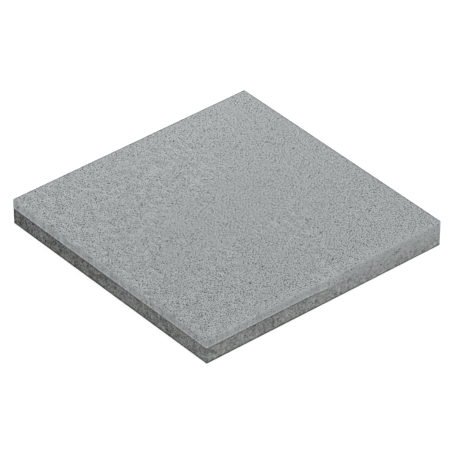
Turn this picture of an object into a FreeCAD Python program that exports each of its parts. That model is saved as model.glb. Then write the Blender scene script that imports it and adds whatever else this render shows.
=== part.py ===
import FreeCAD, Part
import math
import os

# A square paving slab, cast in one mould from two concretes that set together: a pale, fine
# facing that makes the worn top, and a coarse, darker core that makes the body and underside.
# Lengths are in millimetres. +Z is up, and the origin is the middle of the underside.

# Driving dimensions
LENGTH = 400.0            # along X
WIDTH = 400.0             # along Y
FACING_THICKNESS = 14.0   # facing concrete, where the bond between the two is flat
CORE_THICKNESS = 24.7     # core concrete, where the bond between the two is flat
CORNER_RADIUS = 1.2       # the mould's four upright corners
TOP_ARRIS = 0.6           # bevel round the top face
BASE_ARRIS = 0.4          # bevel round the underside

# The bond is flat along the left side and half of the front. Towards the right the wet facing
# lay thicker and pressed down into the core, in shallow round hollows. Each hollow has its
# distance in from the right side, its distance in from the front side, its reach and its depth.
HOLLOWS = (
    (32.0, 4.0, 30.0, 4.6),
    (104.0, 0.0, 36.0, 3.6),
    (184.0, 6.0, 34.0, 2.4),
    (58.0, 96.0, 60.0, 3.2),
    (24.0, 224.0, 52.0, 3.8),
    (112.0, 318.0, 66.0, 2.6),
    (14.0, 372.0, 40.0, 3.4),
)

# The surface that parts the layers
BOND_OVERHANG = 2.0       # how far it runs past the slab on every side before it is trimmed
BOND_PITCH = 20.0         # longest step between the points that it passes through


def top_height():
    return CORE_THICKNESS + FACING_THICKNESS


def bond_height(x, y):
    """Height of the bond above the underside, at one place in plan."""
    drop = 0.0
    for from_right, from_front, reach, depth in HOLLOWS:
        centre_x = LENGTH / 2 - from_right
        centre_y = from_front - WIDTH / 2
        away = math.hypot(x - centre_x, y - centre_y) / reach
        drop += depth * math.exp(-away * away)
    return CORE_THICKNESS - drop


def level_edges(shape, height):
    """The edges that lie flat at one height: the rim of the top face or of the underside."""
    slack = CORNER_RADIUS / 100
    return [
        edge
        for edge in shape.Edges
        if abs(edge.BoundBox.ZMin - height) < slack and abs(edge.BoundBox.ZMax - height) < slack
    ]


def upright_edges(shape):
    return [edge for edge in shape.Edges if edge.BoundBox.ZLength > top_height() / 2]


def moulded_block():
    """The outside of the whole slab, as it leaves the mould."""
    low_corner = FreeCAD.Vector(-LENGTH / 2, -WIDTH / 2, 0)
    block = Part.makeBox(LENGTH, WIDTH, top_height(), low_corner)
    block = block.makeFillet(CORNER_RADIUS, upright_edges(block))
    block = block.makeChamfer(TOP_ARRIS, level_edges(block, top_height()))
    return block.makeChamfer(BASE_ARRIS, level_edges(block, 0))


def spread(half_span):
    """Evenly spaced places from one end of the bond surface to the other."""
    reach = half_span + BOND_OVERHANG
    steps = math.ceil(2 * reach / BOND_PITCH)
    return [-reach + 2 * reach * step / steps for step in range(steps + 1)]


def below_bond():
    """A closed solid that fills everything under the bond, and more on every side."""
    rows = [
        [FreeCAD.Vector(x, y, bond_height(x, y)) for y in spread(WIDTH / 2)]
        for x in spread(LENGTH / 2)
    ]
    bond = Part.BSplineSurface()
    bond.interpolate(rows)
    return bond.toShape().extrude(FreeCAD.Vector(0, 0, -2 * top_height()))


def save(shape, node):
    solid = shape.Solids[0]
    assert len(shape.Solids) == 1 and solid.isValid(), node
    solid.exportStep(os.path.join("parts", node + ".step"))


os.makedirs("parts", exist_ok=True)
block = moulded_block()
lower = below_bond()
save(block.common(lower), "core_layer")
save(block.cut(lower), "facing_layer")
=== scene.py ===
import math
import random

import bpy
import numpy as np
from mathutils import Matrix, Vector, noise
from mathutils.bvhtree import BVHTree
from mathutils.geometry import delaunay_2d_cdt


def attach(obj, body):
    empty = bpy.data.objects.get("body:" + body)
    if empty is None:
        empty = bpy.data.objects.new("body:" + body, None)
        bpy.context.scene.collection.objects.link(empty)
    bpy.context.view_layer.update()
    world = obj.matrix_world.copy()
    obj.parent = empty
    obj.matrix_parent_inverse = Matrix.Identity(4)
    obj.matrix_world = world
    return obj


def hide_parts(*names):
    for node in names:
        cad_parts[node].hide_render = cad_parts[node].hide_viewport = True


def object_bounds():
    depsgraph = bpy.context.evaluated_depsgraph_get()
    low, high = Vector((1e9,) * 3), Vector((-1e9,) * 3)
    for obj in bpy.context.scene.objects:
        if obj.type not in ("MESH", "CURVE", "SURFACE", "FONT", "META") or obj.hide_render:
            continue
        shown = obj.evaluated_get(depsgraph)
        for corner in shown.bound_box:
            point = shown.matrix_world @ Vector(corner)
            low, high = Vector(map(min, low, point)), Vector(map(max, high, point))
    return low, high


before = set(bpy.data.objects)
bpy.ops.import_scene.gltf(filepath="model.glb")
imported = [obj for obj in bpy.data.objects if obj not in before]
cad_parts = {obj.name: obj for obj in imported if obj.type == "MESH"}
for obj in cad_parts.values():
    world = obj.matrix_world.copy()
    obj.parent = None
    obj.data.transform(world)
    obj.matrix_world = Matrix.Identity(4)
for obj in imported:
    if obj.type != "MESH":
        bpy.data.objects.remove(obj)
cad_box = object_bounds()

# A square slab, cast in one mould from two concretes that set together. Lengths are in metres,
# +Z is up, and the origin is the middle of the underside.


# ---- The view ----
# The slab lies flat and is seen from its front left and from above, from far off through a long
# lens, so that its opposite edges stay nearly parallel.
LENS_MM = 360.0
VIEW_AZIMUTH = -39.98
VIEW_ELEVATION = 35.90
VIEW_DISTANCE = 5.940
AIM_LEFT = 0.0236    # the aim is this far left of the slab's middle, and this far in front of it
AIM_FRONT = 0.0299


def add_camera():
    azimuth, elevation = math.radians(VIEW_AZIMUTH), math.radians(VIEW_ELEVATION)
    back = Vector((
        math.sin(azimuth) * math.cos(elevation),
        -math.cos(azimuth) * math.cos(elevation),
        math.sin(elevation),
    ))
    camera = bpy.data.objects.new("camera", bpy.data.cameras.new("camera"))
    camera.data.lens = LENS_MM
    camera.location = Vector((-AIM_LEFT, -AIM_FRONT, cad_box[1].z)) + back * VIEW_DISTANCE
    camera.rotation_euler = (-back).to_track_quat("-Z", "Y").to_euler()
    bpy.context.scene.collection.objects.link(camera)
    bpy.context.scene.camera = camera


add_camera()


# ---- The ground and the light ----
# A white studio sweep under an even white sky, with a large soft lamp overhead, a smaller one
# near the back right corner, whose light falls off across the face, and another in front.
SKY_STRENGTH = 1.0
GROUND_SIZE = 300.0
GROUND_DROP = 0.0001    # keeps the sweep clear of the underside that rests on it
GROUND_COLOUR = (0.20, 0.20, 0.20, 1)
GROUND_GLOW = 0.86      # the sweep is a light table: it is lit from beneath as well

# Each lamp: its name and place, and how wide and how strong it is.
LAMPS = (
    ("overhead_lamp", (0.2, 0.2, 2.6), 1.6, 5.0),
    ("back_lamp", (0.45, 0.85, 0.60), 0.35, 5.0),
    ("front_lamp", (1.2, -2.6, 0.9), 1.2, 4.5),
)


class Flow:
    """A value, colour or vector on its way through a finish, so that its maths reads as sums."""

    def __init__(self, socket):
        self.socket = socket

    def node(self, kind, settings, sockets, output=0):
        """Adds a node: its settings are set first, and then its sockets get values or links."""
        tree = self.socket.id_data
        made = tree.nodes.new(kind)
        for name, value in settings.items():
            if name == "stops":
                set_stops(made.color_ramp, value)
            else:
                setattr(made, name, value)
        for name, value in sockets.items():
            if isinstance(value, Flow):
                tree.links.new(value.socket, made.inputs[name])
            else:
                made.inputs[name].default_value = value
        return Flow(made.outputs[output])

    def maths(self, operation, first, second):
        return self.node("ShaderNodeMath", {"operation": operation}, {0: first, 1: second})

    def vectors(self, operation, sockets, output="Vector"):
        """A sum on vectors, whose result is a vector or, for a dot product, a value."""
        return self.node("ShaderNodeVectorMath", {"operation": operation}, sockets, output)

    def __add__(self, other):
        return self.maths("ADD", self, other)

    def __radd__(self, other):
        return self.maths("ADD", other, self)

    def __sub__(self, other):
        return self.maths("SUBTRACT", self, other)

    def __rsub__(self, other):
        return self.maths("SUBTRACT", other, self)

    def __mul__(self, other):
        return self.maths("MULTIPLY", self, other)

    def __rmul__(self, other):
        return self.maths("MULTIPLY", other, self)

    def __pow__(self, other):
        return self.maths("POWER", self, other)

    def __rpow__(self, other):
        return self.maths("POWER", other, self)

    def between(self, low, high):
        """0 below low and 1 above high, with a smooth step from one to the other."""
        settings = {"interpolation_type": "SMOOTHSTEP"}
        sockets = {"Value": self, "From Min": low, "From Max": high}
        return self.node("ShaderNodeMapRange", settings, sockets)

    def toward(self, colour, share, way="MIX"):
        """This colour mixed with another one by a share."""
        settings = {"data_type": "RGBA", "blend_type": way}
        return self.node("ShaderNodeMix", settings, {0: share, 6: self, 7: colour}, 2)

    def part(self, index):
        """One of a colour's three channels, as a value."""
        return self.node("ShaderNodeSeparateColor", {}, {"Color": self}, index)

    def along(self, index):
        """One of a vector's three coordinates, as a value."""
        return self.node("ShaderNodeSeparateXYZ", {}, {"Vector": self}, index)

    def measured(self, name):
        """What was measured under this name at each vertex of the piece."""
        return self.node("ShaderNodeAttribute", {"attribute_name": name}, {}, "Fac")

    def relief(self, strength, depth):
        """This height as a normal, for a relief of about this depth in metres."""
        sockets = {"Strength": strength, "Distance": depth, "Height": self}
        return self.node("ShaderNodeBump", {}, sockets, "Normal")

    def clouds(self, size, detail=2.0, roughness=0.5):
        """Soft noise about 0.5, with patches of about this size in metres."""
        sockets = {"Vector": self, "Scale": 1 / size, "Detail": detail, "Roughness": roughness}
        return self.node("ShaderNodeTexNoise", {}, sockets)

    def grains(self, size, output, spread=1.0, layout="3D"):
        """Cells of about this size in metres, told by the distance to their middles or by a colour
        for each. They lie at random, or more evenly, all through the piece or flat in the face."""
        sockets = {"Vector": self, "Scale": 1 / size, "Randomness": spread}
        return self.node("ShaderNodeTexVoronoi", {"voronoi_dimensions": layout}, sockets, output)


def set_stops(ramp, stops):
    while len(ramp.elements) < len(stops):
        ramp.elements.new(1.0)
    for element, (position, colour) in zip(ramp.elements, stops):
        element.position = position
        element.color = (*colour, 1)


def new_finish(name, **fixed):
    """A material with nothing on it yet: the material, its shader, and the place on the slab."""
    material = bpy.data.materials.new(name)
    material.use_nodes = True
    tree = material.node_tree
    shader = tree.nodes["Principled BSDF"]
    for socket, value in fixed.items():
        shader.inputs[socket.replace("_", " ")].default_value = value
    return material, shader, Flow(tree.nodes.new("ShaderNodeTexCoord").outputs["Object"])


def feed(shader, **flows):
    for socket, flow in flows.items():
        flow.socket.id_data.links.new(flow.socket, shader.inputs[socket.replace("_", " ")])


def add_ground():
    half = GROUND_SIZE / 2
    corners = [(-half, -half, 0), (half, -half, 0), (half, half, 0), (-half, half, 0)]
    mesh = bpy.data.meshes.new("ground")
    mesh.from_pydata(corners, [], [(0, 1, 2, 3)])
    ground = bpy.data.objects.new("ground", mesh)
    ground.location.z = cad_box[0].z - GROUND_DROP
    material, shader, place = new_finish(
        "white_sweep",
        Base_Color=GROUND_COLOUR,
        Emission_Color=(1, 1, 1, 1),
        Emission_Strength=GROUND_GLOW,
        Specular_IOR_Level=0.0,
    )
    feed(shader, Roughness=0.9 + 0.1 * place.clouds(0.3))
    mesh.materials.append(material)
    bpy.context.scene.collection.objects.link(ground)


def add_lamp(name, place, size, power):
    light = bpy.data.lights.new(name, "AREA")
    light.shape = "DISK"
    light.size = size
    light.energy = power
    holder = bpy.data.objects.new(name, light)
    holder.location = place
    holder.rotation_euler = (-Vector(place)).to_track_quat("-Z", "Y").to_euler()
    bpy.context.scene.collection.objects.link(holder)


def light_sky():
    world = bpy.data.worlds.new("sky")
    world.use_nodes = True
    world.node_tree.nodes["Background"].inputs["Color"].default_value = (1, 1, 1, 1)
    world.node_tree.nodes["Background"].inputs["Strength"].default_value = SKY_STRENGTH
    bpy.context.scene.world = world
    bpy.context.scene.view_settings.view_transform = "Standard"


add_ground()
light_sky()
for lamp in LAMPS:
    add_lamp(*lamp)


# ---- Facing layer ----
# The slab's face: a fine, pale blue-grey concrete of granite grit, laid over the core while that
# was wet, and floated smooth. It is level on top, with small pores where air was trapped and a
# crisp narrow arris all round, and its whole underside is bonded to the core.
MILLIMETRE = 0.001
CORNER_RADIUS = 1.2 * MILLIMETRE
LEAST_RADIUS = 0.3 * MILLIMETRE     # what is left of a corner where its walls are worn back
ARC_STEPS = 3                       # steps round each corner
WALL_PITCH = 0.8 * MILLIMETRE       # distance between the points along a wall
FACE_WALL_ROWS = 18
FACE_WALL_UNEVEN = 0.05 * MILLIMETRE
FACE_ARRIS = 0.6 * MILLIMETRE
NICK_START = 0.62                   # the noise nicks the arris where it rises past this
NICK_DEPTH = 1.6 * MILLIMETRE       # and this deep for each 1 that it rises further
FACE_PITCH = 3.0 * MILLIMETRE       # distance between the points of the face
FACE_WAVE = 0.10 * MILLIMETRE       # long, shallow unevenness of the face
FACE_GRAIN = 0.035 * MILLIMETRE     # the same between one grain and the next
FACE_PORES = 1300
FACE_PORE_GAP = 0.9 * MILLIMETRE
FACE_MARGIN = FACE_ARRIS + 1.3 * MILLIMETRE     # the face's points keep this far from its edge
BOND_PITCH = 9.0 * MILLIMETRE
BOND_INSET = 2.0 * MILLIMETRE       # how far in from a wall the bond's height is read
BOND_RAGGED = 0.9 * MILLIMETRE      # how uneven the bond is on the right, where the layers mix
MIX_START = -0.10                   # share of the half length at which the layers start to mix
MIX_END = 0.35
SHARP_ANGLE = math.radians(34)      # edges that turn by more than this look sharp

# The rings over the arris: how far round it each is, and how far up the layer it counts as.
ARRIS_RINGS = (
    (math.pi / 6, 0.985),
    (math.pi / 3, 0.99),
    (math.pi / 2, 1.0),
)

# The rings of a pore: each one's share of its radius and of its depth.
PORE_RINGS = (
    (1.0, 0.0),
    (0.66, 0.72),
)

# A few pores are larger: each is a share of the slab's half length and half width, and a radius.
LARGE_PORES = (
    (0.80, 0.25, 1.9 * MILLIMETRE),
    (-0.24, -0.58, 1.7 * MILLIMETRE),
    (-0.40, 0.73, 1.8 * MILLIMETRE),
    (-0.58, 0.65, 1.6 * MILLIMETRE),
    (0.33, -0.42, 1.5 * MILLIMETRE),
)

half_x = cad_box[1].x
half_y = cad_box[1].y
face_height = cad_box[1].z
core_surface = BVHTree.FromObject(
    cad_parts["core_layer"], bpy.context.evaluated_depsgraph_get()
)


def noisy(points, size, seed, octaves=2):
    """Soft noise about 0 at each point, hardly ever past 1 or -1, with waves of about this size."""
    shift = Vector((seed * 1.7, seed * 2.3, seed * 3.1))
    return np.array([
        noise.fractal(Vector(point) / size + shift, 1.0, 2.0, octaves) for point in points
    ])


def bond_heights(places):
    """Height of the core's top at each place in plan."""
    heights = []
    for x, y in places:
        inner_x = min(max(x, BOND_INSET - half_x), half_x - BOND_INSET)
        inner_y = min(max(y, BOND_INSET - half_y), half_y - BOND_INSET)
        above = Vector((inner_x, inner_y, face_height))
        heights.append(core_surface.ray_cast(above, Vector((0, 0, -1)))[0].z)
    return np.array(heights)


class Wall:
    """The mould's wall: a rectangle with small round corners, as spots in a ring, anticlockwise."""

    def __init__(self, pitch):
        rows = []
        for turn in range(4):
            start = turn * math.pi / 2 - math.pi / 2
            sign_x, sign_y = (1, 1, -1, -1)[turn], (-1, 1, 1, -1)[turn]
            for step in range(ARC_STEPS + 1):
                angle = start + step * math.pi / 2 / ARC_STEPS
                rows.append((turn, sign_x, sign_y, math.cos(angle), math.sin(angle), np.nan, np.nan))
            away_x, away_y = (1, 0, -1, 0)[turn], (0, 1, 0, -1)[turn]
            reach = (half_y if away_x else half_x) - CORNER_RADIUS
            steps = round(2 * reach / pitch)
            for step in range(1, steps):
                free = reach * (2 * step / steps - 1) * (away_x - away_y)
                free_x, free_y = (np.nan, free) if away_x else (free, np.nan)
                rows.append((turn, away_x, away_y, away_x, away_y, free_x, free_y))
        side, self.sign_x, self.sign_y, self.out_x, self.out_y, self.free_x, self.free_y = (
            np.array(rows).T
        )
        self.side = side.astype(int)
        self.count = len(rows)
        self.outer = self.at(np.zeros(self.count))
        self.mixed = np.clip((self.outer[:, 0] / half_x - MIX_START) / (MIX_END - MIX_START), 0, 1)
        steps = np.linalg.norm(np.roll(self.outer, -1, axis=0) - self.outer, axis=1)
        self.run = np.concatenate([[0.0], np.cumsum(steps)])
        self.length = self.run[-1]

    def at(self, inset):
        """Places in plan of all the spots, moved in from the wall."""
        radius = np.maximum(CORNER_RADIUS - inset, LEAST_RADIUS)
        hub_x = self.sign_x * (half_x - inset - radius)
        hub_y = self.sign_y * (half_y - inset - radius)
        x = np.where(np.isnan(self.free_x), hub_x, self.free_x) + radius * self.out_x
        y = np.where(np.isnan(self.free_y), hub_y, self.free_y) + radius * self.out_y
        return np.stack([x, y], -1)

    def bond(self):
        """Height of the bond all round the wall: crisp on the left, ragged where the layers mix."""
        level = bond_heights(self.outer)
        points = np.column_stack([self.outer, np.zeros(self.count)])
        return level + BOND_RAGGED * self.mixed * noisy(points, 0.006, 20, 3)


class Piece:
    """Vertices and faces of one piece as it is built up, with what is measured at each vertex,
    such as how deep it is in a pit or how far up its layer."""

    def __init__(self, *measures):
        self.points, self.faces, self.map = [], [], []
        self.measures = {name: [] for name in measures}

    def add_points(self, points, **values):
        start = len(self.points)
        self.points += [tuple(point) for point in points]
        for name, found in self.measures.items():
            value = values.get(name, 0.0)
            found += [value] * len(points) if np.isscalar(value) else list(value)
        return start

    def add_wall(self, wall, insets, heights, strips, **values):
        """A wall of rings, lowest first. Returns where its lowest and its highest ring start.
        strips lays each side's faces out flat."""
        rings = [
            np.column_stack([wall.at(inset), level]) for inset, level in zip(insets, heights)
        ]
        start = self.add_points(np.concatenate(rings), **values)
        first = [np.flatnonzero(wall.side == side)[0] for side in range(4)]
        for ring in range(len(rings) - 1):
            low, high = start + ring * wall.count, start + (ring + 1) * wall.count
            for spot in range(wall.count):
                after = (spot + 1) % wall.count
                self.faces.append((low + spot, low + after, high + after, high + spot))
                side = wall.side[spot]
                near = wall.run[spot] - wall.run[first[side]]
                far = wall.run[spot + 1] - wall.run[first[side]]
                bottom, top = heights[ring], heights[ring + 1]
                for run, level in (
                    (near, bottom[spot]), (far, bottom[after]), (far, top[after]), (near, top[spot])
                ):
                    self.map.append(strips(side, run, level))
        return start, start + (len(rings) - 1) * wall.count

    def close(self, ring_start, count, inner, upward, sheet, loops=(), **values):
        """Fills a ring with triangles that also pass through the inner points. sheet lays them out
        flat, as a left, bottom, width and depth."""
        added = self.add_points(inner, **values)
        ring = self.points[ring_start:ring_start + count]
        flat = [Vector(point[:2]) for point in ring] + [Vector(point[:2]) for point in inner]
        edges = [(spot, (spot + 1) % count) for spot in range(count)]
        for loop in loops:
            edges += [(count + a, count + b) for a, b in zip(loop, loop[1:] + loop[:1])]
        triangles = delaunay_2d_cdt(flat, edges, [], 1, 1e-9)[2]
        where = list(range(ring_start, ring_start + count)) + list(range(added, len(self.points)))
        left, bottom, width, depth = sheet
        for triangle in triangles:
            corners = [where[corner] for corner in (triangle if upward else triangle[::-1])]
            self.faces.append(tuple(corners))
            for corner in corners:
                x, y, _ = self.points[corner]
                across, back = (x / half_x + 1) / 2, (y / half_y + 1) / 2
                self.map.append((left + width * across, bottom + depth * back))

    def made(self, name, material):
        """The finished piece, riding on the slab."""
        mesh = bpy.data.meshes.new(name)
        mesh.from_pydata(self.points, [], self.faces)
        for measure, values in self.measures.items():
            mesh.attributes.new(measure, "FLOAT", "POINT").data.foreach_set("value", values)
        if self.map:
            mesh.uv_layers.new(name="OFBake").uv.foreach_set("vector", np.ravel(self.map))
        mesh.shade_smooth()
        mesh.set_sharp_from_angle(angle=SHARP_ANGLE)
        mesh.materials.append(material)
        made = bpy.data.objects.new(name, mesh)
        bpy.context.scene.collection.objects.link(made)
        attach(made, "root")
        return made


def scattered(draw, count, radius_of, room_of, spacing, fixed=()):
    """Round things strewn over a rectangle without touching: a list of (x, y, radius)."""
    kept = list(fixed)
    for _ in range(count * 4):
        if len(kept) >= count:
            break
        radius = radius_of(draw)
        reach_x, reach_y = room_of(radius)
        x, y = draw.uniform(-reach_x, reach_x), draw.uniform(-reach_y, reach_y)
        near = np.array(kept).reshape(-1, 3)
        clear = np.hypot(near[:, 0] - x, near[:, 1] - y) - near[:, 2] - radius
        if not len(kept) or clear.min() > spacing:
            kept.append((x, y, radius))
    return kept


def pore_points(draw, x, y, radius, surface, depth):
    """One pore: an uneven rim, a ring part of the way down, and its bottom."""
    sides = draw.choice((7, 8, 9))
    start = draw.uniform(0, math.tau)
    points = []
    for share, sink in PORE_RINGS:
        for side in range(sides):
            angle = start + math.tau * side / sides
            reach = radius * share * draw.uniform(0.8, 1.2)
            points.append((
                x + reach * math.cos(angle), y + reach * math.sin(angle), surface - depth * sink
            ))
    points.append((x, y, surface - depth))
    pits = [0.0] * sides + [0.8] * sides + [1.0]
    return points, pits, list(range(sides))


def pored_field(draw, pores, grid, level, deep):
    """Points for a level surface with pores in it. level gives its height at places in plan, and
    deep the depth of a pore from its radius."""
    near = np.array(pores)
    far = [
        place for place in grid
        if (np.hypot(near[:, 0] - place[0], near[:, 1] - place[1]) > near[:, 2] * 1.4).all()
    ]
    points = [(*place, height) for place, height in zip(far, level(far))]
    pits = [0.0] * len(points)
    loops = []
    for (x, y, radius), surface in zip(pores, level([pore[:2] for pore in pores])):
        made, depths, rim = pore_points(draw, x, y, radius, surface, deep(radius))
        loops.append([len(points) + corner for corner in rim])
        points += made
        pits += depths
    return points, pits, loops


def jittered_grid(draw, pitch, margin):
    """Places in plan, one to a square of the pitch, up to a margin from the walls."""
    across, deep = round(2 * (half_x - margin) / pitch), round(2 * (half_y - margin) / pitch)
    return [
        (
            (half_x - margin) * (2 * (column + draw.uniform(0.2, 0.8)) / across - 1),
            (half_y - margin) * (2 * (row + draw.uniform(0.2, 0.8)) / deep - 1),
        )
        for row in range(deep)
        for column in range(across)
    ]


def face_level(places):
    """Height of the face: floated level, with faint waves that never rise past its full height."""
    points = [(x, y, 0.0) for x, y in places]
    waves = FACE_WAVE * (noisy(points, 0.07, 1) - 1) / 2
    return face_height + waves + FACE_GRAIN * (noisy(points, 0.007, 2) - 1) / 2


def facing_wall(wall, bond):
    """Insets and heights of the facing's wall, from the bond up and over the arris, and how far up
    the layer each ring is."""
    flat = np.column_stack([wall.outer, np.zeros(wall.count)])
    nicks = np.maximum(noisy(flat, 0.006, 3) - NICK_START, 0) * NICK_DEPTH
    shoulder = face_height - FACE_ARRIS
    insets, heights, levels = [], [], []
    for row in range(FACE_WALL_ROWS + 1):
        height = bond + (shoulder - bond) * row / FACE_WALL_ROWS
        points = np.column_stack([wall.outer, height])
        insets.append(FACE_WALL_UNEVEN * (1 + noisy(points, 0.004, 4)))
        heights.append(height)
        levels.append(0.98 * row / FACE_WALL_ROWS)
    for turn, share in ARRIS_RINGS:
        inset = FACE_ARRIS * (1 - math.cos(turn)) + FACE_WALL_UNEVEN
        heights.append(shoulder + FACE_ARRIS * math.sin(turn) - FACE_WAVE / 2 - nicks * 0.7)
        insets.append(inset + nicks * 0.6)
        levels.append(share)
    return insets, heights, np.repeat(levels, wall.count)


FACING_COLOUR = (0.276, 0.294, 0.296, 1)
# Painted shade in the pores of the face.
PORE_SHADE_COLOUR = (0.10, 0.105, 0.105, 1)
GRAIN_SIZE = 1.1 * MILLIMETRE
FLECK_PITCH = 2.0 * MILLIMETRE
DOT_PITCH = 2.8 * MILLIMETRE
DOT_SPREAD = 0.8                    # from 0, in rows, to 1, wholly at random
STRAY_PITCH = 12.0 * MILLIMETRE
RIPPLE_WIDTH = 5.0 * MILLIMETRE
RIPPLE_ACROSS = (0.87, 0.5, 0)      # the slant at which the float crossed the slab
RIPPLE_DOWN = (0.17, -0.29, 0)      # square to it, and a third as long: ripples are long and thin
RIPPLE_BEND = (0.03, 0.03, 0)


def trowel_marks(place):
    """Faint, broken ripples about 0, left by the float as it crossed the slab at a slant."""
    swirl = place.node("ShaderNodeTexNoise", {}, {"Vector": place, "Scale": 18.0}, "Color")
    bent = place.vectors("MULTIPLY_ADD", {0: swirl, 1: RIPPLE_BEND, 2: place})
    across = bent.vectors("DOT_PRODUCT", {0: bent, 1: RIPPLE_ACROSS}, "Value")
    down = bent.vectors("DOT_PRODUCT", {0: bent, 1: RIPPLE_DOWN}, "Value")
    marks = bent.node("ShaderNodeCombineXYZ", {}, {0: across, 1: down}).clouds(RIPPLE_WIDTH, 1.0)
    return marks.between(0.35, 0.65) - 0.5


def grit_flecks(place):
    """The grit where the concrete is cut through by a wall: dark grains and a few pale ones."""
    chance = place.grains(FLECK_PITCH, "Color").part(0)
    inside = 1 - place.grains(FLECK_PITCH, "Distance").between(0.36, 0.48)
    return inside * (0.3 * chance.between(0.90, 0.98) - 0.9 * (1 - chance.between(0.08, 0.34)))


def grit_dots(place):
    """The grit in the trowelled face, which brings it up close and even: small ragged dark dots,
    some darker than others, in paler cement."""
    chance = place.grains(DOT_PITCH, "Color", DOT_SPREAD, "2D").part(0)
    away = place.grains(DOT_PITCH, "Distance", DOT_SPREAD, "2D")
    inside = 1 - (away + 0.5 * (place.clouds(GRAIN_SIZE) - 0.5)).between(0.26, 0.34)
    return 0.12 - inside * (0.47 + 0.8 * chance ** 4)


def grit_shade(place, grit, strength):
    """How light the facing's concrete is, about 1: pale cement, cloudy and faintly rippled, in
    which its grit, a fine grain and a few stray dark stones show by a strength."""
    clouds = place.clouds(0.11)
    mottle = place.clouds(0.012, 3.0)
    grain = place.clouds(GRAIN_SIZE, 0.5)
    stray = 1 - place.grains(STRAY_PITCH, "Distance").between(0.07, 0.10)
    strength = strength * (0.8 + 0.3 * place.clouds(0.022).between(0.36, 0.56))
    rippled = (clouds - 1.2 * place.along(0)).between(0.44, 0.60)
    shade = 0.98 + 0.08 * (clouds - 0.5) + 0.05 * (mottle - 0.5)
    shade = shade + 0.20 * rippled * trowel_marks(place)
    return shade + strength * (1.8 * (grain - 0.5) + grit - 1.6 * stray)


def tinted(shade, colour):
    """A colour made lighter or darker by a shade about 1."""
    grey = shade.node("ShaderNodeCombineColor", {}, {0: shade, 1: shade, 2: shade})
    return grey.toward(colour, 1.0, "MULTIPLY")


def facing_finish():
    """The walls set against the mould, so their skin is smoother, with a clean pale lower edge and
    a painted highlight along the upper one. The front one is stained by the core on the right; the
    far arrises have painted shade."""
    material, shader, place = new_finish("facing_concrete", Specular_IOR_Level=0.35)
    pit, level = place.measured("pit"), place.measured("level")
    right, back = place.along(0), place.along(1)
    near = 1 - back.between(0.008 - half_y, 0.022 - half_y)
    crisp = (1 - level.between(0.10, 0.24)) * (1 - near * right.between(-0.1 * half_x, 0.2 * half_x))
    stain = (1 - level.between(0.05, 0.45)) * near * right.between(0.0, 0.4 * half_x)
    stain = stain * place.clouds(0.012, 3.0).between(0.4, 0.6)
    # Painted highlight: the walls grow lighter towards the arris, and the front wall's upper part a
    # little more.
    upper_wall_highlight = level.between(0.66, 0.98) * (1 - level.between(0.990, 1.0))
    pale_edge_and_highlight = 0.24 * crisp + 0.18 * upper_wall_highlight + 0.05 * level.between(0.6, 1.0) * near
    # Painted shade: the face is darker within a few millimetres of its right and back edges.
    far = right.maths("MAXIMUM", right, back).between(half_x - 0.0035, half_x - 0.0015)
    face = level.between(0.985, 0.995)
    stain_and_rim_shade = 0.14 * stain + 0.3 * far * face
    flecks = grit_flecks(place)
    grit = flecks + face * (grit_dots(place) - flecks)
    shade = grit_shade(place, grit, 0.65 + 0.35 * level.between(0.975, 1.0)) + pale_edge_and_highlight - stain_and_rim_shade
    # The pores get painted shade, deepest at their bottoms.
    colour = tinted(shade, FACING_COLOUR).toward(PORE_SHADE_COLOUR, pit * 0.7)
    normal = shade.relief(0.25, 0.15 * MILLIMETRE)
    feed(shader, Base_Color=colour, Roughness=0.92 - 0.06 * shade, Normal=normal)
    return material


# How the facing's faces lie on its flat map: the face, its bonded back squeezed in behind it, and
# the four walls in strips beside them.
FACE_SHEET = (0.01, 0.01, 0.80, 0.80)
FACE_BACK_SHEET = (0.01, 0.83, 0.80, 0.15)
FACE_STRIP_LEFT = 0.825
FACE_STRIP_STEP = 0.0425
FACE_STRIP_SCALE = 2.0


def facing_strip(side, run, level):
    left = FACE_STRIP_LEFT + FACE_STRIP_STEP * side
    return left + (face_height - level) * FACE_STRIP_SCALE, 0.01 + run * FACE_STRIP_SCALE


def face_pore_radius(draw):
    return (0.42 + 0.75 * draw.random() ** 3) * MILLIMETRE


def add_facing():
    draw = random.Random(11)
    wall = Wall(WALL_PITCH)
    piece = Piece("pit", "level")
    insets, heights, levels = facing_wall(wall, wall.bond())
    base, rim = piece.add_wall(wall, insets, heights, facing_strip, level=levels)
    pores = scattered(
        draw, FACE_PORES, face_pore_radius,
        lambda radius: (half_x - FACE_MARGIN - radius, half_y - FACE_MARGIN - radius),
        FACE_PORE_GAP,
        [(x * half_x, y * half_y, radius) for x, y, radius in LARGE_PORES],
    )
    grid = jittered_grid(draw, FACE_PITCH, FACE_MARGIN)
    points, pits, loops = pored_field(draw, pores, grid, face_level, lambda radius: radius * 0.7)
    piece.close(rim, wall.count, points, True, FACE_SHEET, loops, pit=pits, level=1.0)
    under = jittered_grid(draw, BOND_PITCH, BOND_INSET * 2)
    under = [(*place, height) for place, height in zip(under, bond_heights(under))]
    piece.close(base, wall.count, under, False, FACE_BACK_SHEET)
    facing = piece.made("facing", facing_finish())
    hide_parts("facing_layer")


add_facing()


# ---- Core layer ----
# The slab's body: a lean, coarse, darker concrete, pressed into the mould before the facing. The
# paste doesn't fill it, so its sides and underside are rough and full of small voids, and it
# stands a little behind the facing. It is darker with damp on the left, and drier on the right.
CORE_ARRIS = 0.4 * MILLIMETRE
CORE_RECESS = 0.18 * MILLIMETRE
CORE_ROUGHNESS = 0.16 * MILLIMETRE
CORE_WALL_ROWS = 30
CORE_ARRIS_ROWS = 2
CORE_VOIDS = 520
LOWEST_VOID = 2.0 * MILLIMETRE
HIGHEST_VOID = 24.0 * MILLIMETRE
BASE_PITCH = 3.0 * MILLIMETRE
BASE_ROUGHNESS = 0.5 * MILLIMETRE
BASE_MARGIN = 4.0 * MILLIMETRE      # the underside's points keep this far from its edge
BASE_PORES = 800
BASE_PORE_GAP = 1.0 * MILLIMETRE

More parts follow.
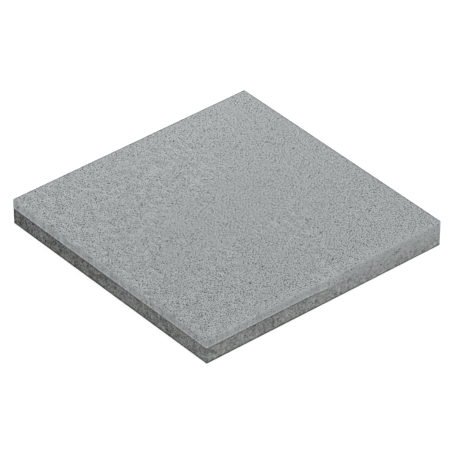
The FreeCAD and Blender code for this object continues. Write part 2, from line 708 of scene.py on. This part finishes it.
# How the core's faces lie on its flat map: the underside, its bonded top squeezed in behind it,
# and the four walls in strips beside them.
BASE_SHEET = (0.01, 0.01, 0.69, 0.69)
CORE_TOP_SHEET = (0.01, 0.72, 0.69, 0.26)
CORE_STRIP_LEFT = 0.72
CORE_STRIP_STEP = 0.068
CORE_STRIP_SCALE = 2.4


def core_strip(side, run, level):
    left = CORE_STRIP_LEFT + CORE_STRIP_STEP * side
    return left + level * CORE_STRIP_SCALE, 0.01 + run * CORE_STRIP_SCALE


def void_depths(draw, wall, heights):
    """How deep the voids in the core's wall are at each point, and how deep as a share."""
    depth = np.zeros_like(heights)
    share = np.zeros_like(heights)
    for _ in range(CORE_VOIDS):
        wide = (0.6 + 1.5 * draw.random() ** 3) * MILLIMETRE
        tall = wide * draw.uniform(0.5, 1.2)
        centre = draw.uniform(0, wall.length)
        level = draw.uniform(LOWEST_VOID, HIGHEST_VOID)
        along = (wall.run[:-1] - centre + wall.length / 2) % wall.length - wall.length / 2
        reach = (along / wide) ** 2 + ((heights - level) / tall) ** 2
        bowl = np.maximum(1 - reach, 0) ** 0.5
        depth = np.maximum(depth, bowl * tall * 0.7)
        share = np.maximum(share, bowl)
    return depth, share


def core_wall(draw, wall, bond):
    """Insets and heights of the core's wall, from the underside round the lower arris and up to
    the bond, how deep in a void each point is, and how far up the layer each ring is."""
    heights = [np.zeros(wall.count)]
    for row in range(1, CORE_ARRIS_ROWS + 1):
        heights.append(np.full(wall.count, CORE_ARRIS * row / CORE_ARRIS_ROWS))
    for row in range(1, CORE_WALL_ROWS + 1):
        heights.append(CORE_ARRIS + (bond - CORE_ARRIS) * row / CORE_WALL_ROWS)
    heights = np.array(heights)
    depth, share = void_depths(draw, wall, heights)
    insets = []
    for level, hollow in zip(heights, depth):
        points = np.column_stack([wall.outer, level])
        stretched = np.column_stack([wall.outer, level / 4])
        rough = 1.2 + 0.7 * noisy(points, 0.006, 5) + 0.6 * noisy(stretched, 0.0024, 6)
        rise = np.minimum(level / CORE_ARRIS, 1)
        round_off = CORE_ARRIS * (1 - np.sqrt(np.maximum(1 - (1 - rise) ** 2, 0)))
        flush = 1 - 0.9 * wall.mixed * np.clip(2 * level / bond - 1, 0, 1)
        insets.append((CORE_RECESS + CORE_ROUGHNESS * rough) * flush + round_off + hollow)
    return insets, heights, share.ravel(), (heights / bond).ravel()


def base_level(places):
    """Height of the underside: it rests on its high spots, and rises between them."""
    points = [(x, y, 0.0) for x, y in places]
    waves = np.abs(noisy(points, 0.02, 8)) + 0.5 * np.abs(noisy(points, 0.006, 9))
    return BASE_ROUGHNESS * waves


def dryness(place):
    """How dry the core is: a little over 0 at the back left corner, and nearly 1 at the front
    right one."""
    return (place.along(0) - place.along(1)).between(-2.5 * half_x, 2.5 * half_x)


# What the gravel's dust and the damp do to the cement's colour, from place to place.
CEMENT_TINTS = (
    (0.0, (1.04, 0.98, 0.95)),
    (0.3, (0.98, 1.0, 0.97)),
    (0.6, (0.98, 1.0, 1.01)),
    (1.0, (1.02, 0.96, 1.02)),
)
CEMENT_COLOUR = (0.185, 0.192, 0.188, 1)
# The painted shade at the core's foot, in the crease under the facing and in its voids.
PAINTED_SHADE_COLOUR = (0.03, 0.03, 0.03, 1)
SCRAPE_STRETCH = (1, 1, 0.4)        # the mould scraped the core as it was lifted: marks are tall


def core_colour(place):
    """Lean cement over gravel: patchy greys with a little brown, green and violet in them. Returns
    its height as well."""
    tall = place.vectors("MULTIPLY", {0: place, 1: SCRAPE_STRETCH})
    patches = place.clouds(0.03)
    mottle = place.clouds(0.005, 3.0, 0.65)
    scrapes = tall.clouds(0.0022, 2.0, 0.6)
    cell = place.grains(0.0075, "Color").part(0)
    crumb = place.grains(0.0017, "Color").part(0)
    shade = 0.52 + 0.76 * dryness(place) + 0.6 * (patches - 0.5) + 0.6 * (mottle - 0.5)
    shade = shade + 1.1 * (scrapes - 0.5) + 0.9 * (crumb - 0.5) + 0.3 * (cell - 0.5)
    hue = place.clouds(0.035, 3.0).between(0.3, 0.7)
    tint = place.node("ShaderNodeValToRGB", {"stops": CEMENT_TINTS}, {"Fac": hue}, "Color")
    return tinted(shade, CEMENT_COLOUR).toward(tint, 1.0, "MULTIPLY"), crumb + 1.5 * mottle + scrapes


def core_finish():
    """Core concrete, with painted shade along the foot, in the crease under the facing and in its
    voids. On the right some of the facing's pale paste has run down into it."""
    material, shader, place = new_finish("core_concrete", Specular_IOR_Level=0.3)
    pit, level = place.measured("pit"), place.measured("level")
    right, back = place.along(0), place.along(1)
    colour, height = core_colour(place)
    # Painted shade along the foot, stronger on the damp left, and a painted shadow in the crease
    # under the facing on the left.
    foot_shade_strength = 1 - 0.3 * dryness(place)
    crease_shadow = level.between(0.86, 0.93) * (1 - right.between(-0.2 * half_x, 0.2 * half_x))
    foot_shade = 1 - level.between(0.08, 0.15)
    runs = (level + 1.6 * (place.clouds(0.008) - 0.5)).between(0.50, 0.85)
    share = right.between(-0.1 * half_x, 0.4 * half_x) * (0.10 + 0.80 * runs)
    share = share * (1 - back.between(-0.95 * half_y, -0.5 * half_y))
    paste = tinted(grit_shade(place, grit_flecks(place), 0.8), FACING_COLOUR)
    colour = colour.toward(paste, share)
    colour = colour.toward(PAINTED_SHADE_COLOUR, 0.9 * foot_shade_strength * foot_shade + 0.45 * crease_shadow + 0.35 * pit)
    normal = height.relief(0.6, 0.3 * MILLIMETRE)
    feed(shader, Base_Color=colour, Roughness=0.86 + 0.05 * height, Normal=normal)
    return material


def base_pore_radius(draw):
    return (0.6 + 1.8 * draw.random() ** 3) * MILLIMETRE


def add_core():
    draw = random.Random(23)
    wall = Wall(WALL_PITCH)
    piece = Piece("pit", "level")
    insets, heights, share, levels = core_wall(draw, wall, wall.bond())
    base, rim = piece.add_wall(wall, insets, heights, core_strip, pit=share, level=levels)
    pores = scattered(
        draw, BASE_PORES, base_pore_radius,
        lambda radius: (half_x - BASE_MARGIN - radius, half_y - BASE_MARGIN - radius),
        BASE_PORE_GAP,
    )
    grid = jittered_grid(draw, BASE_PITCH, BASE_MARGIN)
    points, pits, loops = pored_field(
        draw, pores, grid, lambda places: -base_level(places), lambda radius: radius * 0.8
    )
    points = [(x, y, -height) for x, y, height in points]
    piece.close(base, wall.count, points, False, BASE_SHEET, loops, pit=pits, level=0.5)
    over = jittered_grid(draw, BOND_PITCH, BOND_INSET * 2)
    over = [(*place, height) for place, height in zip(over, bond_heights(over))]
    piece.close(rim, wall.count, over, True, CORE_TOP_SHEET, level=0.5)
    core = piece.made("core", core_finish())
    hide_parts("core_layer")


add_core()


# ---- Gravel ----
# The coarse stone in the core, where it meets the walls and the underside. Each pebble of crushed
# granite lies flat against the mould, a hair proud of the cement, which has filmed over part of it.
STONE_DEPTH = 1.6 * MILLIMETRE
STONE_INSET = 0.30 * MILLIMETRE     # how far its flat is behind the mould's wall
WALL_STONES = 85                    # on each side
WALL_STONE_GAP = 0.8 * MILLIMETRE
WALL_STONE_MARGIN = 1.6 * MILLIMETRE
BASE_STONES = 420
BASE_STONE_GAP = 2.0 * MILLIMETRE
BASE_STONE_INSET = 0.12 * MILLIMETRE

# Each ring of a stone: its share of the outline, and how far it is in front of the stone's flat.
STONE_RINGS = (
    (0.85, -1.3 * MILLIMETRE),
    (1.0, -0.5 * MILLIMETRE),
    (0.97, -0.12 * MILLIMETRE),
    (0.82, -0.02 * MILLIMETRE),
    (0.45, 0.0),
)

# Granite, from the darkest stones to the palest.
STONE_TONES = (
    (0.0, (0.085, 0.09, 0.09)),
    (0.2, (0.15, 0.17, 0.145)),
    (0.4, (0.20, 0.18, 0.145)),
    (0.6, (0.20, 0.185, 0.20)),
    (0.8, (0.26, 0.26, 0.25)),
    (1.0, (0.34, 0.34, 0.33)),
)


def add_stone(piece, draw, centre, across, upward, outward, radius):
    """One stone: an uneven outline that narrows to a flat in front and to a point behind."""
    sides = draw.choice((7, 8, 9, 10))
    start, lean = draw.uniform(0, math.tau), draw.uniform(0, math.pi)
    squash = draw.uniform(0.62, 0.95)
    corners = []
    for side in range(sides):
        angle = start + math.tau * (side + draw.uniform(-0.25, 0.25)) / sides
        reach = radius * draw.uniform(0.82, 1.0)
        along, aside = reach * math.cos(angle), reach * squash * math.sin(angle)
        corners.append((
            along * math.cos(lean) - aside * math.sin(lean),
            along * math.sin(lean) + aside * math.cos(lean),
        ))
    points = [centre - outward * STONE_DEPTH]
    for share, front in STONE_RINGS:
        points += [
            centre + across * (share * along) + upward * (share * rise) + outward * front
            for along, rise in corners
        ]
    points.append(centre)
    first = piece.add_points(points, tone=draw.random())
    last = first + len(points) - 1
    for side in range(sides):
        after = (side + 1) % sides
        piece.faces.append((first, first + 1 + after, first + 1 + side))
        for ring in range(len(STONE_RINGS) - 1):
            low, high = first + 1 + ring * sides, first + 1 + (ring + 1) * sides
            piece.faces.append((low + side, low + after, high + after, high + side))
        top = last - sides
        piece.faces.append((top + side, top + after, last))


def stone_radius(draw):
    return (1.8 + 4.2 * draw.random() ** 2) * MILLIMETRE


def gravel_finish():
    """Crushed granite: small crystals of each stone's own tone, filmed over with cement."""
    material, shader, place = new_finish("granite_gravel", Specular_IOR_Level=0.4)
    stops, tone = {"stops": STONE_TONES}, place.measured("tone")
    stone = place.node("ShaderNodeValToRGB", stops, {"Fac": tone}, "Color")
    crystal = place.grains(0.0009, "Color").part(0)
    stone = tinted((0.65 + 0.7 * crystal) * (0.7 + 0.6 * dryness(place)), stone)
    cement, height = core_colour(place)
    film = place.clouds(0.004, 3.0).between(0.38, 0.62)
    colour = stone.toward(cement, 0.25 + 0.6 * film)
    normal = height.relief(0.4, 0.2 * MILLIMETRE)
    feed(shader, Base_Color=colour, Roughness=0.6 + 0.3 * film, Normal=normal)
    return material


def add_gravel():
    draw = random.Random(37)
    piece = Piece("tone")
    upright = Vector((0, 0, 1))
    low_bond = bond_heights(Wall(WALL_PITCH).outer).min()
    for outward in (Vector((0, -1, 0)), Vector((1, 0, 0)), Vector((0, 1, 0)), Vector((-1, 0, 0))):
        across = upright.cross(outward)
        wide = half_x if outward.x == 0 else half_y
        away = half_y if outward.x == 0 else half_x
        stones = scattered(
            draw, WALL_STONES, stone_radius,
            lambda radius: (
                wide - radius - 2 * WALL_STONE_MARGIN, low_bond / 2 - radius - WALL_STONE_MARGIN
            ),
            WALL_STONE_GAP,
        )
        for along, rise, radius in stones:
            centre = outward * (away - STONE_INSET) + across * along
            centre += upright * (low_bond / 2 + rise)
            add_stone(piece, draw, centre, across, upright, outward, radius)
    stones = scattered(
        draw, BASE_STONES, stone_radius,
        lambda radius: (half_x - radius - BASE_MARGIN, half_y - radius - BASE_MARGIN),
        BASE_STONE_GAP,
    )
    for x, y, radius in stones:
        centre = Vector((x, y, BASE_STONE_INSET))
        add_stone(piece, draw, centre, Vector((1, 0, 0)), Vector((0, -1, 0)), -upright, radius)
    gravel = piece.made("gravel", gravel_finish())


add_gravel()
